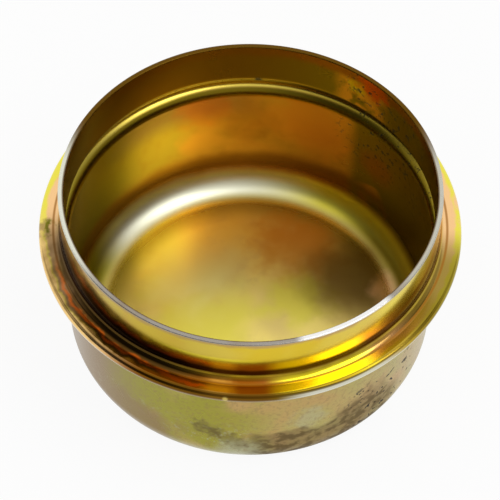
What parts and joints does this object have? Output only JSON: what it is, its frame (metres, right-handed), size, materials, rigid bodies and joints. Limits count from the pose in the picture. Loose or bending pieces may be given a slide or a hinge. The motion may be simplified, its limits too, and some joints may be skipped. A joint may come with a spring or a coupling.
{
  "type": "hub grease cap",
  "caption": "Round pressed steel grease cap for a wheel hub, with a folded flange and a press-in collar round its mouth.",
  "frame": {"origin": "centre of the flat closed end", "axes": "+Z along the cap's axis, from the closed end to the mouth; X and Y are free, since the cap is round"},
  "size_m": [0.072, 0.072, 0.0376],
  "materials": {
    "yellow_zinc_steel": "yellow chromate over zinc plating, glossy, with rainbow tints and some dirt"
  },
  "bodies": {
    "root": {"grease_cap": "yellow_zinc_steel"}
  },
  "joints": []
}
